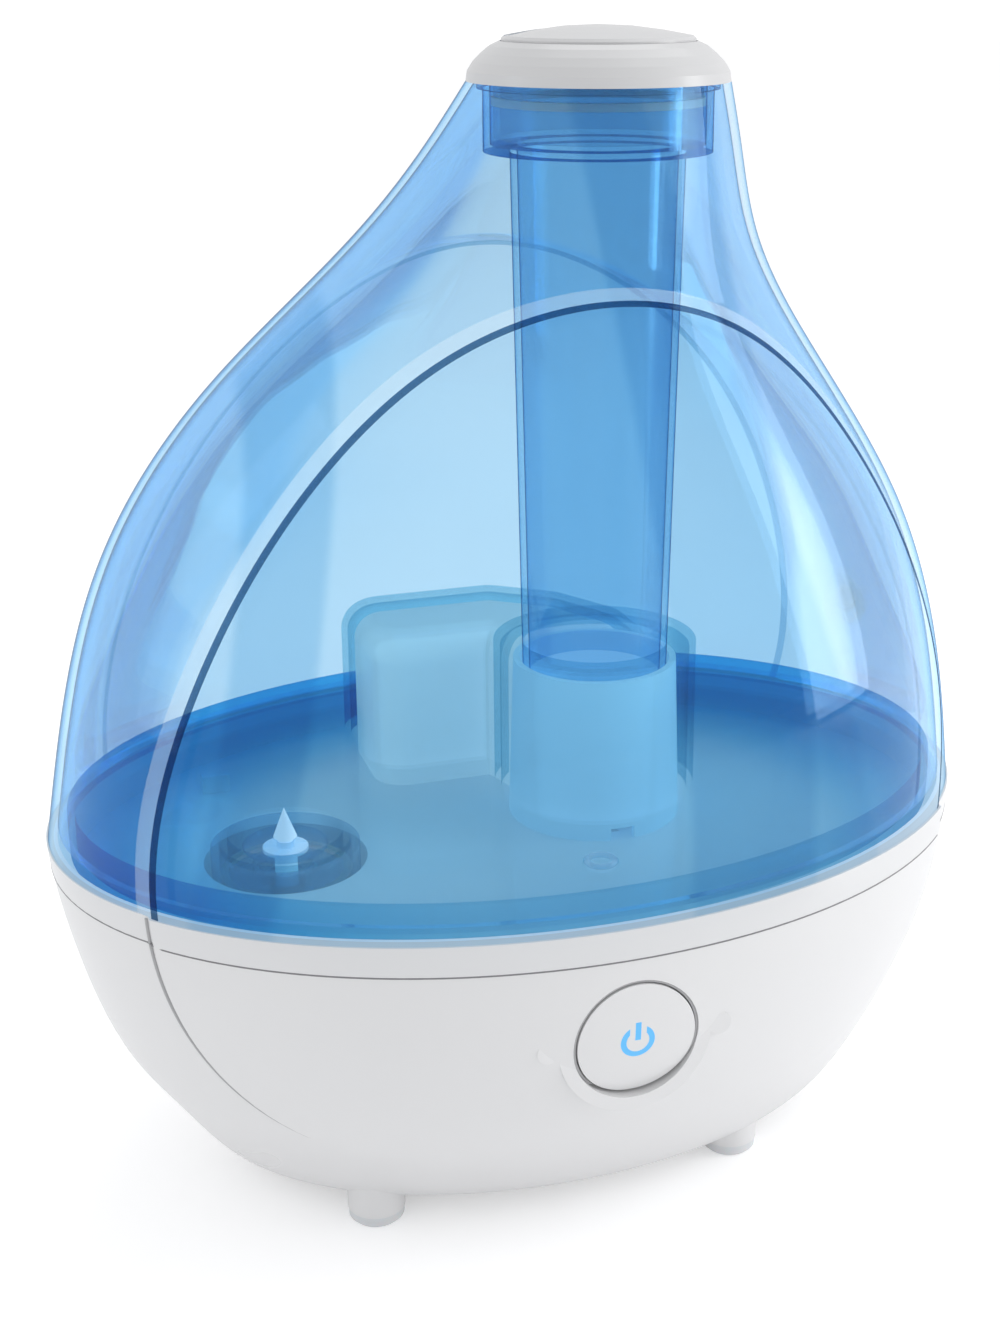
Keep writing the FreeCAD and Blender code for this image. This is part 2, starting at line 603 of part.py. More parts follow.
def board_screw_places():
    """The driver board's four corner screws."""
    xs = ("board_left + 4", "board_left + board_long - 4")
    ys = ("board_front + 4", "board_front + board_wide - 4")
    return [(x, y) for x in xs for y in ys]


def make_cover():
    """Bottom cover: air inlet slots under the fan side, and posts for the driver board."""
    plate = oval_column("base_z", "base_z + cover_t", "cover_a", "cover_b")
    posts = [rod(x, y, "base_z + 1", 2.8, "board_z - base_z - 1") for x, y in board_screw_places()]
    cuts = [box(-44 + 4.5 * index, -14, 0, 2.5, 28, 12) for index in range(7)]
    cuts += [rod(x, y, "board_z - 6", 1.1, 8) for x, y in board_screw_places()]
    for x, y in cover_screw_places():
        cuts.append(rod(x, y, 0, 1.6, 12))
        cuts.append(rod(x, y, 0, 2.9, "base_z + 1.4"))
    part(cut(fuse(plate, *posts), *cuts), "bottom_cover")


def make_feet_and_screws():
    """Four soft foot pads, and the screws that close the base from below."""
    for name, (x, y) in foot_places().items():
        outline = [
            ("0", "0"), ("foot_r - 0.8", "0"), ("foot_r", "0.8"), ("foot_r", "foot_t"), ("0", "foot_t"),
        ]
        part(turned(outline, x, y), "foot_" + name)
    deck_screws = [screw(x, y, 6.2, 2.9, 1.8, 1.5, 16) for x, y in foot_places().values()]
    group("deck_screws", deck_screws)
    cover_screws = [screw(x, y, "base_z + 0.2", 2.6, 1.2, 1.4, 6) for x, y in cover_screw_places()]
    group("cover_screws", cover_screws)


def make_mist_parts():
    """The collar over the transducer, and the duct that brings the fan's air to it."""
    sleeve = turned([
        ("collar_foot_r - collar_wall", "floor_z"), ("collar_foot_r", "floor_z"),
        ("collar_top_r", "collar_top_z"), ("collar_top_r - collar_wall", "collar_top_z"),
        ("collar_top_r - collar_wall + 0.3", "ledge_z + ledge_t"), ("ledge_r", "ledge_z + ledge_t"),
        ("ledge_r", "ledge_z"), ("collar_top_r - collar_wall + 0.4", "ledge_z"),
    ])
    air_window = box("neck_x - 8", 10, "floor_z + 12", 17, 16, 14)
    front_notch = box("neck_x - 3", -25, "floor_z - 1", 6, 10, 4)
    right_notch = box("neck_x + 14", -3, "floor_z - 1", 10, 6, 4)
    part(cut(sleeve, air_window, front_notch, right_notch), "mist_collar")
    floor = DIMENSIONS["floor_z"]
    wall = DIMENSIONS["duct_wall"]
    top = DIMENSIONS["duct_top_z"]
    block = duct_block("Duct", 0, floor, top, 6.5)
    hollow = duct_block("DuctHollow", -wall, floor - 1, top - wall, 5)
    part(cut(block, hollow, rod("neck_x", 0, "floor_z - 1", "collar_foot_r + 0.1", 60)), "air_duct")


def make_transducer():
    """Piezo disc in its rubber ring, held up under the pit by a clamp and three screws."""
    part(ring("0", "piezo_r", "seal_low_z + 0.6", "seal_low_z + 0.6 + piezo_t"), "transducer_disc")
    part(turned([
        ("8.4", "seal_low_z"), ("12.3", "seal_low_z"), ("12.3", "seal_low_z + 2.5"),
        ("8.4", "seal_low_z + 2.5"), ("8.4", "seal_low_z + 1.9"), ("piezo_r + 0.1", "seal_low_z + 1.9"),
        ("piezo_r + 0.1", "seal_low_z + 0.5"), ("8.4", "seal_low_z + 0.5"),
    ]), "transducer_seal")
    clamp = ring("7.6", "clamp_r", "seal_low_z - clamp_t", "seal_low_z")
    holes = [rod(x, y, 60, 1.3, 12) for x, y in clamp_screw_places()]
    part(cut(clamp, *holes), "transducer_clamp")
    head_z = "seal_low_z - clamp_t - 1.6"
    group("transducer_screws", [screw(x, y, head_z, 1.9, 1.6, 0.9, 5) for x, y in clamp_screw_places()])


def make_level_switch():
    """The float on its post, with the magnet inside it and the reed switch under the floor."""
    at = ("float_x", "float_y")
    body = ring("float_bore_r", "float_r", "float_floor_z + 0.5", "float_floor_z + 0.5 + float_t", *at)
    cavity = ring("3.6", "5.6", "float_floor_z + 1.3", "float_floor_z + 3.5", *at)
    part(cut(body, cavity), "level_float")
    part(ring("3.7", "5.5", "float_floor_z + 1.4", "float_floor_z + 3.4", *at), "float_magnet")
    part(rod(*at, "float_floor_z + 11.2", 4.4, 1.0), "float_retainer")
    part(box("float_x - 8", "float_y - 3", "float_floor_z - 3.4", 16, 6, 1.2), "reed_board")
    part(rod("float_x - 6", "float_y", "float_floor_z - 4.6", 1.1, 12, Vector(0, 1, 0), 90), "reed_switch")


def make_fan():
    """A 40 mm axial fan hung under the floor, blowing up into the duct."""
    low = "fan_top_z - fan_t"
    half = DIMENSIONS["fan_side"] / 2
    frame = box("fan_x - %.1f" % half, "fan_y - %.1f" % half, low, "fan_side", "fan_side", "fan_t")
    bore = rod("fan_x", "fan_y", low + " - 1", "fan_bore_r", "fan_t + 2")
    holes = [rod(x, y, low + " - 1", 1.7, "fan_t + 2") for x, y in fan_screw_places()]
    disc = rod("fan_x", "fan_y", low, "fan_cup_r", "fan_arm_t")
    arms = [box("fan_x", "fan_y", low, 19.4, 2, "fan_arm_t", UP, 45 + 120 * index) for index in range(3)]
    part(fuse(cut(frame, bore, *holes), disc, *arms), "fan_housing")
    at = ("fan_x", "fan_y")
    part(ring("fan_shaft_r + 0.05", "6.8", low + " + fan_arm_t", low + " + 9", *at), "fan_motor")
    cup = turned([
        ("0", low + " + 2"), ("fan_shaft_r", low + " + 2"), ("fan_shaft_r", low + " + 10.8"),
        ("fan_cup_r - 1.4", low + " + 10.8"), ("fan_cup_r - 1.4", low + " + 2.4"),
        ("fan_cup_r", low + " + 2.4"), ("fan_cup_r", low + " + 12.4"), ("0", low + " + 12.4"),
    ], *at)
    part(fuse(cup, *[fan_blade(index) for index in range(7)]), "fan_rotor")
    head_z = "fan_top_z - fan_t - 1.6"
    group("fan_screws", [screw(x, y, head_z, 2.4, 1.6, 1.2, 19) for x, y in fan_screw_places()])


def fan_blade(index):
    """One pitched blade, from the hub out to just inside the bore."""
    long = DIMENSIONS["fan_blade_r"] - DIMENSIONS["fan_cup_r"] + 0.5
    blade = doc.addObject("Part::Box", "Blade")
    bind(blade, "Length", "fan_blade_r - fan_cup_r + 0.5")
    bind(blade, "Width", "blade_t")
    bind(blade, "Height", "blade_wide")
    middle_z = DIMENSIONS["fan_top_z"] - 7.4
    hub = Placement(Vector(DIMENSIONS["fan_x"], DIMENSIONS["fan_y"], middle_z), Rotation(UP, 360 / 7 * index))
    root = Placement(Vector(DIMENSIONS["fan_blade_r"] - long, 0, 0), Rotation(Vector(1, 0, 0), 38))
    centre = Vector(0, -DIMENSIONS["blade_t"] / 2, -DIMENSIONS["blade_wide"] / 2)
    blade.Placement = hub * root * Placement(centre, Rotation())
    return blade


def make_electronics():
    """The driver board with what stands on it, and the power inlet in the back wall."""
    board = box("board_left", "board_front", "board_z", "board_long", "board_wide", "board_t")
    part(cut(board, *[rod(x, y, 10, 1.6, 12) for x, y in board_screw_places()]), "driver_board")
    top = "board_z + board_t"
    fins = [box("sink_x + %.1f" % (4.1 * index), "sink_y", top, 1.4, 6.5, "sink_high") for index in range(7)]
    part(fuse(box("sink_x", "sink_y + 6", top, 26, 3, "sink_high"), *fins), "heat_sink")
    legs = [box("sink_x + %.1f" % (10 + 2.5 * index), "sink_y + 9.6", top, 0.8, 0.8, 5) for index in range(3)]
    case = box("sink_x + 7.9", "sink_y + 9.05", top + " + 4.5", 10, 2.4, 10)
    part(fuse(case, *legs), "power_transistor")
    coil = doc.addObject("Part::Torus", "Coil")
    bind(coil, "Radius1", "coil_r")
    bind(coil, "Radius2", "coil_wire_r")
    part(place(coil, "coil_x", "coil_y", top + " + coil_wire_r + 0.1"), "inductor")
    cans = [rod(10.5, -11, top, 4, 13), rod(20, -12.5, top, 3, 10), rod(27.5, -12.5, top, 3, 10)]
    group("capacitors", cans)
    part(box(24, -6.5, top, 9, 7, 1.8), "control_chip")
    side = "socket_side"
    sockets = [box(x, y, top, side, side, side) for x, y in ((-4, 7.5), (13, -3.5), (0, -19), (33.5, -2))]
    group("lead_sockets", sockets)
    head_z = top + " + 1.6"
    group("board_screws", [screw(x, y, head_z, 2.4, 1.6, 1.0, 7, up=False) for x, y in board_screw_places()])
    body = fuse(box("jack_x - 6.5", "jack_face_y - 18", "jack_z - 5.5", 13, 14.2, 11),
                rod_back("jack_x", "jack_face_y - 4", "jack_z", 4.8, 4))
    bored = cut(body, rod_back("jack_x", "jack_face_y - 12", "jack_z", "jack_bore_r", 14))
    part(fuse(bored, rod_back("jack_x", "jack_face_y - 13", "jack_z", 1.0, 10)), "power_jack")


def make_button(base_outer):
    """Round power button with its inlaid symbol and ring, and the switch behind it."""
    x, z = "button_x", "button_z"
    icon_stock = rod_back(x, "button_stock_y", z, "icon_r", 11.4)
    icon_bore = rod_back(x, "button_stock_y - 1", z, "icon_r - icon_line", 14)
    icon_arc = cut(icon_stock, icon_bore, box("button_x - 1.9", "button_stock_y - 1", z, 3.8, 14, 6))
    icon_bar = box("button_x - 0.65", "button_stock_y", "button_z + 0.3", "icon_line", 11.4, "icon_r + 0.5")
    icon = common(base_outer, fuse(icon_arc, icon_bar))
    face = common(base_outer, rod_back(x, "button_stock_y", z, "button_r", 16.4))
    flange = rod_back(x, -79.2, z, "button_flange_r", 1.2)
    stem = rod_back(x, -78.6, z, 2.2, 6.1)
    part(fuse(cut(face, icon), flange, stem), "power_button")
    part(icon, "button_icon")
    part(rod_back(x, -72.5, z, 1.7, 2.3), "switch_plunger")
    hoop_stock = rod_back(x, "button_stock_y", z, "button_hole_r - 0.05", 13)
    hoop_bore = rod_back(x, "button_stock_y - 1", z, "button_r + 0.3", 16)
    part(common(body_loft("base", 7, "panel_step - 0.4"), cut(hoop_stock, hoop_bore)), "button_ring")
    case = box("button_x - 3", -71.2, "button_z - 3", 6, 3.4, 6)
    part(cut(case, rod_back(x, -72, z, 2.0, 3.3)), "tact_switch")
    part(rod_back(x, -70.6, "button_z + 6.2", 1.5, 2.8), "status_led")
    part(box("button_x - 22.5", -67.7, "button_z - 9", 45, 1.6, 18), "button_board")
    part(box(5, -66.1, 58.5, 6, 2.6, 5), "button_socket")


def make_leads():
    """Insulated leads inside the base, each from a part to its socket on the board."""
    lead("fan_lead", [(-1, 22, 66), (-1, 13, 66), (-1, 10.5, 50), (-1, 10.5, 23.6)], 1.1, 5)
    lead("transducer_lead", [(10.2, 0, 66), (10.2, 0, 54), (16, -0.5, 40), (16, -0.5, 23.6)], 1.1, 8)
    lead("button_lead", [(8, -63.5, 61), (8, -54, 61), (6, -34, 46), (3, -16, 38), (3, -16, 23.6)], 1.1, 5)
    lead("jack_lead", [(20, 43.6, 30), (20, 34, 30), (29, 19, 40), (36.5, 1, 38), (36.5, 1, 23.6)], 1.3, 5)


def check_and_write():
    """Stop on any failed object or invalid solid, then write each sub-part."""
    doc.recompute()
    for item in doc.Objects:
        if "Invalid" in item.State or "Error" in item.State:
            raise RuntimeError("%s (%s) failed: %s" % (item.Name, item.Label, item.State))
    for item in parts:
        if item.Shape.isNull() or not item.Shape.isValid() or not item.Shape.Solids:
            raise RuntimeError("%s has no valid solid" % item.Label)
    os.makedirs("parts", exist_ok=True)
    for item in parts:
        item.Shape.exportStep("parts/%s.step" % item.Label)
        box_of = item.Shape.BoundBox
        sizes = (item.Label, len(item.Shape.Solids), item.Shape.Volume / 1000, box_of.ZMin, box_of.ZMax)
        print("%-20s solids %d  %8.2f cm3  z %7.2f to %7.2f" % sizes)


fill_sheet()
egg = egg_prism()
base_body = body_loft("base", 7, "0")
base_raised = common(body_loft("base", 7, "panel_step"), egg)
base_form = common(fuse(base_body, base_raised), level_slab("base_z", "seam_z"))
make_tank(egg)
make_filler()
make_nozzle()
make_basin(base_form)
make_cups()
make_housing(base_form)
make_cover()
make_feet_and_screws()
make_mist_parts()
make_transducer()
make_level_switch()
make_fan()
make_electronics()
make_button(base_form)
make_leads()
check_and_write()
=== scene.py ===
"""Looks of the cool mist humidifier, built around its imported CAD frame. Metres, +Z up, front at -Y."""
import json
import math
import bmesh
import bpy
import numpy as np
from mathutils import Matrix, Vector
from mathutils.bvhtree import BVHTree


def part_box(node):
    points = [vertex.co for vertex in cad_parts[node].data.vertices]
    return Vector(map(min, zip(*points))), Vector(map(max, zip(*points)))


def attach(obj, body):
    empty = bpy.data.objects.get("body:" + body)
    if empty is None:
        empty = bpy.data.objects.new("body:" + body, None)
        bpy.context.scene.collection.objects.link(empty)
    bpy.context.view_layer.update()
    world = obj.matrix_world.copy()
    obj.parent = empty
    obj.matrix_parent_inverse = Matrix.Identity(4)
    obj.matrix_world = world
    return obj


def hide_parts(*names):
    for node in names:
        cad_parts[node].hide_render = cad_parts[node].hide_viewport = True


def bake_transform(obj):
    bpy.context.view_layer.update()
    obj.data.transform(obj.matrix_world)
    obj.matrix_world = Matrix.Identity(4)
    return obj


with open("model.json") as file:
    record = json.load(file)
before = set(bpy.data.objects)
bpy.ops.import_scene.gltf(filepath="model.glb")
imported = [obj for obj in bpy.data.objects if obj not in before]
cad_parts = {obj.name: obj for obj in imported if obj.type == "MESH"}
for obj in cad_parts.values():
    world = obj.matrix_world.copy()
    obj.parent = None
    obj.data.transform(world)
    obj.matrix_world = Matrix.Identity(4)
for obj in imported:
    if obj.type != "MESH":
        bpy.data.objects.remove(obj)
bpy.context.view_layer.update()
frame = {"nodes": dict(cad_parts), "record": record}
MM = 0.001

# Levels, from the frame
seam_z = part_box("tank_shell")[0].z
rim_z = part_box("tank_shell")[1].z
parting_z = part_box("base_housing")[1].z

# Sections of the tank's oval body in millimetres: height, left end, right end, half depth
TANK_SECTIONS = [
    (91.4, -112.0, 112.0, 79.8),
    (125.0, -105.6, 106.5, 81.0),
    (162.0, -92.4, 95.0, 70.0),
    (195.5, -67.0, 74.2, 57.2),
    (225.5, -35.0, 57.3, 43.0),
    (245.5, -17.9, 53.2, 34.6),
    (258.9, -8.6, 50.8, 29.6),
]
# Raised front and back panels: an egg outline seen from the front
EGG_X, EGG_Z = 1.1 * MM, 120.9 * MM
EGG_WIDE, EGG_HIGH = 92.4 * MM, 97.4 * MM
EGG_LEAN, EGG_TAPER, EGG_BULGE = 7.0 * MM, 0.21, 0.05
PANEL_STEP = 1.2 * MM
WALL = 2.0 * MM

# The stepped edge of a raised panel, from outside the step to its top: outline growth, surface growth, kind.
# Kind 1 takes a painted highlight band, kind 2 a painted dark line of shade.
PANEL_PROFILE = [
    (1.8 * MM, 0.0, 0), (1.3 * MM, 0.12 * MM, 1), (-0.2 * MM, 0.85 * MM, 1),
    (-0.5 * MM, 1.02 * MM, 1), (-0.9 * MM, 1.12 * MM, 2), (-1.7 * MM, PANEL_STEP, 2),
]
LEDGE_RISE = 2.2 * MM

# Painted reflection stripes on the tank's front wall, darker and lighter upright stripes in place of
# reflected surroundings: middle x at the seam, half width, lean, and added thickness of the filter, which
# paints a stripe darker or lighter
PAINTED_REFLECTION_BANDS = (
    (31 * MM, 17 * MM, -0.06, 1.0),
    (-80 * MM, 9 * MM, 0.22, 1.0),
    (97 * MM, 32 * MM, -0.28, -0.75),
)
PAINTED_BAND_EDGE = 2.5 * MM

# How a clear surface's filter grows with its slant to the view, as light crosses more of the wall, and with
# the last few degrees of it, a painted dark outline in place of the dark rims that refraction gives
SLANT_SHARE, SLANT_POWER, OUTLINE_SHADE_POWER = 0.2, 2.0, 22.0
PLASTIC_IOR = 1.33

# Painted shade on the pan: it darkens from this share of its half width squared, measured from a middle this
# far forward, and only below this height above the seam
RIM_SHADE_START, RIM_SHADE_FORWARD, RIM_SHADE_TOP = 0.35, 18 * MM, 8 * MM

# Beads and lines laid on the base: crease beads in a grey that paints shade into the panels' creases, and the
# parting line
CREASE_R, CREASE_OUT, CREASE_STEPS = 0.42 * MM, 0.35 * MM, 160
PARTING_R, PARTING_IN, PARTING_STEPS = 0.22 * MM, 0.1 * MM, 240
BELOW_SEAM = 0.4 * MM
OUT_OF_BODY = 0.25

# The small round mark on the tank's floor: middle, radius, and the radius of its lip
MARK_PLACE, MARK_R, MARK_LIP_R = (6.2 * MM, -46.3 * MM, 90.3 * MM), 3.2 * MM, 0.7 * MM

# The valve's spring
SPRING_WIRE, SPRING_TURNS, SPRING_STEPS, SPRING_CLOSED = 0.35 * MM, 6.0, 40, 0.9


# ---------------------------------------------------------------- shapes

def natural_spline(sections):
    """A natural cubic spline through the sections: height in, centre, half width and half depth out."""
    table = np.array(sections) * MM
    heights, values = table[:, 0], table[:, 1:]
    gaps = np.diff(heights)
    count = len(heights)
    matrix, right = np.eye(count), np.zeros(values.shape)
    for i in range(1, count - 1):
        matrix[i, i - 1:i + 2] = gaps[i - 1], 2 * (gaps[i - 1] + gaps[i]), gaps[i]
        right[i] = 6 * ((values[i + 1] - values[i]) / gaps[i] - (values[i] - values[i - 1]) / gaps[i - 1])
    bend = np.linalg.solve(matrix, right)

    def section(z):
        i = int(min(max(np.searchsorted(heights, z) - 1, 0), count - 2))
        gap, above, below = gaps[i], z - heights[i], heights[i + 1] - z
        left, right_end, depth = (
            bend[i] * below ** 3 / (6 * gap) + bend[i + 1] * above ** 3 / (6 * gap)
            + (values[i] / gap - bend[i] * gap / 6) * below
            + (values[i + 1] / gap - bend[i + 1] * gap / 6) * above
        )
        return (left + right_end) / 2, (right_end - left) / 2, depth

    return section


tank_section = natural_spline(TANK_SECTIONS)


def egg(turn, grow):
    """A point (x, z) of the panel outline grown by a distance."""
    rise = math.sin(turn)
    taper = 1 - EGG_TAPER * rise + EGG_BULGE * rise * rise
    x = EGG_X + EGG_LEAN * rise + (EGG_WIDE + grow) * math.cos(turn) * taper
    return x, EGG_Z + (EGG_HIGH + grow) * rise


def egg_turn(z, grow):
    """The turn on the right side at which the grown outline reaches a height."""
    return math.asin(max(-1.0, min(1.0, (z - EGG_Z) / (EGG_HIGH + grow))))


def arc(section, z, grow, first, last, count, side=-1):
    """Points along one section's ellipse between two ellipse angles; side -1 is the front."""
    centre, wide, deep = section(z)
    turns = [first + (last - first) * i / count for i in range(count + 1)]
    return [
        (centre + (wide + grow) * math.cos(turn), side * (deep + grow) * math.sin(turn), z) for turn in turns
    ]


def angle_at(section, x, z, grow):
    """The ellipse angle, from 0 at the right end to pi at the left, above which x lies."""
    centre, wide, _ = section(z)
    return math.acos(max(-1.0, min(1.0, (x - centre) / (wide + grow))))


class Skin:
    """Grids of points that become one mesh, with equal points merged."""

    def __init__(self):
        self.points, self.faces, self.kinds = [], [], []

    def grid(self, rows, kind=0):
        start, wide = len(self.points), len(rows[0])
        for row in rows:
            self.points.extend(row)
        for r in range(len(rows) - 1):
            for c in range(wide - 1):
                at = start + r * wide + c
                self.faces.append((at, at + 1, at + wide + 1, at + wide))
                self.kinds.append(kind)

    def piece(self, name, body, materials, sharp=35):
        mesh = bpy.data.meshes.new(name)
        mesh.from_pydata([tuple(p) for p in self.points], [], self.faces)
        mesh.polygons.foreach_set("material_index", self.kinds)
        work = bmesh.new()
        work.from_mesh(mesh)
        bmesh.ops.remove_doubles(work, verts=work.verts, dist=2e-6)
        bmesh.ops.dissolve_degenerate(work, edges=work.edges, dist=1e-7)
        bmesh.ops.recalc_face_normals(work, faces=work.faces)
        work.to_mesh(mesh)
        work.free()
        return finish_piece(name, mesh, body, materials, sharp)


def finish_piece(name, mesh, body, materials, sharp=35):
    """Smooth shading with sharp edges past an angle, materials, and the body it rides on, if it is one."""
    mesh.polygons.foreach_set("use_smooth", [True] * len(mesh.polygons))
    mesh.set_sharp_from_angle(angle=math.radians(sharp))
    for look in materials:
        mesh.materials.append(look)
    item = bpy.data.objects.new(name, mesh)
    bpy.context.scene.collection.objects.link(item)
    if body:
        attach(item, body)
    return item


def outer_skin(skin, section, z_start, z_end, profile, back_panel_shade_kinds, rows=72, sides=56, across=120):
    """The body's outside between two levels, with the raised panels and their stepped edges.

    The argument after the profile gives the kinds of the profile that change on the back panel: there the
    painted highlight band turns into plain shell and the painted dark line takes a lighter painted shade. The
    panels' tops lie between the levels.
    """
    out_grow, _, _ = profile[0]
    in_grow, in_lift, _ = profile[-1]

    def turns(grow):
        first = egg_turn(z_start, grow)
        return [first + (math.pi / 2 - first) * k / rows for k in range(rows + 1)]

    right_rows, left_rows = [], []
    for turn in turns(out_grow):
        x_right, z = egg(turn, out_grow)
        x_left, _ = egg(math.pi - turn, out_grow)
        right, left = angle_at(section, x_right, z, 0), angle_at(section, x_left, z, 0)
        right_rows.append(arc(section, z, 0, right, -right, sides))
        left_rows.append(arc(section, z, 0, left, 2 * math.pi - left, sides))
    split_x, z_apex = egg(math.pi / 2, out_grow)
    beyond = max(6, rows // 3)
    for k in range(1, beyond + 1):
        z = z_apex + (z_end - z_apex) * k / beyond
        centre = section(z)[0]
        x = split_x + (centre - split_x) * k / beyond
        turn = angle_at(section, x, z, 0)
        right_rows.append(arc(section, z, 0, turn, -turn, sides))
        left_rows.append(arc(section, z, 0, turn, 2 * math.pi - turn, sides))
    skin.grid(right_rows)
    skin.grid(left_rows)
    for side in (-1, 1):
        panel = []
        for turn in turns(in_grow):
            x_right, z = egg(turn, in_grow)
            x_left, _ = egg(math.pi - turn, in_grow)
            first = angle_at(section, x_left, z, in_lift)
            last = angle_at(section, x_right, z, in_lift)
            panel.append(arc(section, z, in_lift, first, last, across, side))
        skin.grid(panel)
        for mirrored in (False, True):
            columns = [
                [on_outline(section, turn, grow, lift, mirrored, side) for turn in turns(grow)]
                for grow, lift, _ in profile
            ]
            for (one, two), (_, _, kind) in zip(zip(columns, columns[1:]), profile[1:]):
                skin.grid([one, two], back_panel_shade_kinds.get(kind, kind) if side > 0 else kind)


def on_outline(section, turn, grow, lift, mirrored, side):
    """A point of the grown panel outline, laid on the body's surface lifted by a distance."""
    x, z = egg(math.pi - turn if mirrored else turn, grow)
    centre, wide, deep = section(z)
    across = min(1.0, abs(x - centre) / (wide + lift))
    return x, side * (deep + lift) * math.sqrt(1 - across * across), z


def oval_rows(levels, count=144):
    """Closed rows of (z, centre x, half width, half depth)."""
    turns = [2 * math.pi * i / count for i in range(count + 1)]
    return [[(x + a * math.cos(t), -b * math.sin(t), z) for t in turns] for z, x, a, b in levels]


def section_levels(section, z_low, z_high, grow, count):
    """Levels of the body's own oval for oval_rows."""
    levels = []
    for i in range(count + 1):
        z = z_low + (z_high - z_low) * i / count
        centre, wide, deep = section(z)
        levels.append((z, centre, wide + grow, deep + grow))
    return levels


# ---------------------------------------------------------------- materials

def material(name):
    """A new node material, with its node tree and output."""
    made = bpy.data.materials.new(name)
    made.use_nodes = True
    tree = made.node_tree
    tree.nodes.clear()
    output = tree.nodes.new("ShaderNodeOutputMaterial")
    return made, tree, output


def axes(tree):
    """The x, y and z of a point on the object, by name."""
    place = tree.nodes.new("ShaderNodeTexCoord")
    split = tree.nodes.new("ShaderNodeSeparateXYZ")
    tree.links.new(place.outputs["Object"], split.inputs[0])
    return split.outputs


def mixed(tree, factor, first, second):
    """Two shaders mixed by a number or a socket."""
    mix = tree.nodes.new("ShaderNodeMixShader")
    if isinstance(factor, float):
        mix.inputs["Fac"].default_value = factor
    else:
        tree.links.new(factor, mix.inputs["Fac"])
    tree.links.new(first, mix.inputs[1])
    tree.links.new(second, mix.inputs[2])
    return mix.outputs[0]


def noise(tree, scale, detail=3.0, stretch=None):
    """Object-space noise, which may be stretched along an axis."""
    place = tree.nodes.new("ShaderNodeTexCoord")
    source = place.outputs["Object"]
    if stretch:
        mapping = tree.nodes.new("ShaderNodeMapping")
        mapping.inputs["Scale"].default_value = stretch
        tree.links.new(source, mapping.inputs["Vector"])
        source = mapping.outputs["Vector"]
    node = tree.nodes.new("ShaderNodeTexNoise")
    node.inputs["Scale"].default_value = scale
    node.inputs["Detail"].default_value = detail
    tree.links.new(source, node.inputs["Vector"])
    return node.outputs["Fac"]


def between(tree, factor, low, high):
    """A number that follows a factor from low to high."""
    node = tree.nodes.new("ShaderNodeMapRange")
    node.inputs["From Min"].default_value = 0.3
    node.inputs["From Max"].default_value = 0.7
    node.inputs["To Min"].default_value = low
    node.inputs["To Max"].default_value = high
    tree.links.new(factor, node.inputs["Value"])
    return node.outputs["Result"]


def shades(tree, factor, dark, light):
    """A colour that follows a factor between two colours."""
    node = tree.nodes.new("ShaderNodeMix")
    node.data_type = "RGBA"
    node.inputs["A"].default_value = (*dark, 1)
    node.inputs["B"].default_value = (*light, 1)
    tree.links.new(factor, node.inputs["Factor"])
    return node.outputs["Result"]


def bump(tree, factor, strength, distance):
    """A normal that a factor raises and lowers."""
    node = tree.nodes.new("ShaderNodeBump")
    node.inputs["Strength"].default_value = strength
    node.inputs["Distance"].default_value = distance
    tree.links.new(factor, node.inputs["Height"])
    return node.outputs["Normal"]


def solid(
    name, colour, rough, grain=900, grain_depth=0.00002, vary=0.03, metal=0.0, stretch=None, glow=0.0, **fixed
):
    """Moulded, cast or drawn stock: colour and gloss that vary a little, over a fine grain."""
    made, tree, output = material(name)
    shader = tree.nodes.new("ShaderNodeBsdfPrincipled")
    wide = noise(tree, 35, 4.0, stretch)
    fine = noise(tree, grain, 2.0, stretch)
    dark = tuple(max(0.0, c * (1 - vary)) for c in colour)
    light = tuple(min(1.0, c * (1 + vary)) for c in colour)
    tree.links.new(shades(tree, wide, dark, light), shader.inputs["Base Color"])
    tree.links.new(between(tree, fine, rough * 0.88, min(1.0, rough * 1.12)), shader.inputs["Roughness"])
    tree.links.new(bump(tree, fine, 0.25, grain_depth), shader.inputs["Normal"])
    shader.inputs["Metallic"].default_value = metal
    for key, value in fixed.items():
        shader.inputs[key.replace("_", " ")].default_value = value
    if glow:
        shader.inputs["Emission Color"].default_value = (*colour, 1)
        shader.inputs["Emission Strength"].default_value = glow
    tree.links.new(shader.outputs["BSDF"], output.inputs["Surface"])
    return made


def math_node(tree, kind, *values):
    """A Math node on numbers or sockets."""
    node = tree.nodes.new("ShaderNodeMath")
    node.operation = kind
    for socket, value in zip(node.inputs, values):
        if isinstance(value, (int, float)):
            socket.default_value = value
        else:
            tree.links.new(value, socket)
    return node.outputs[0]


def smooth_ramp(tree, value, start, end, top=1.0):
    """A number that rises smoothly from 0 at start to top at end."""
    ramp = tree.nodes.new("ShaderNodeMapRange")
    ramp.interpolation_type = "SMOOTHSTEP"
    ramp.inputs["From Min"].default_value = start
    ramp.inputs["From Max"].default_value = end
    ramp.inputs["To Min"].default_value = 0.0
    ramp.inputs["To Max"].default_value = top
    tree.links.new(value, ramp.inputs["Value"])
    return ramp.outputs["Result"]


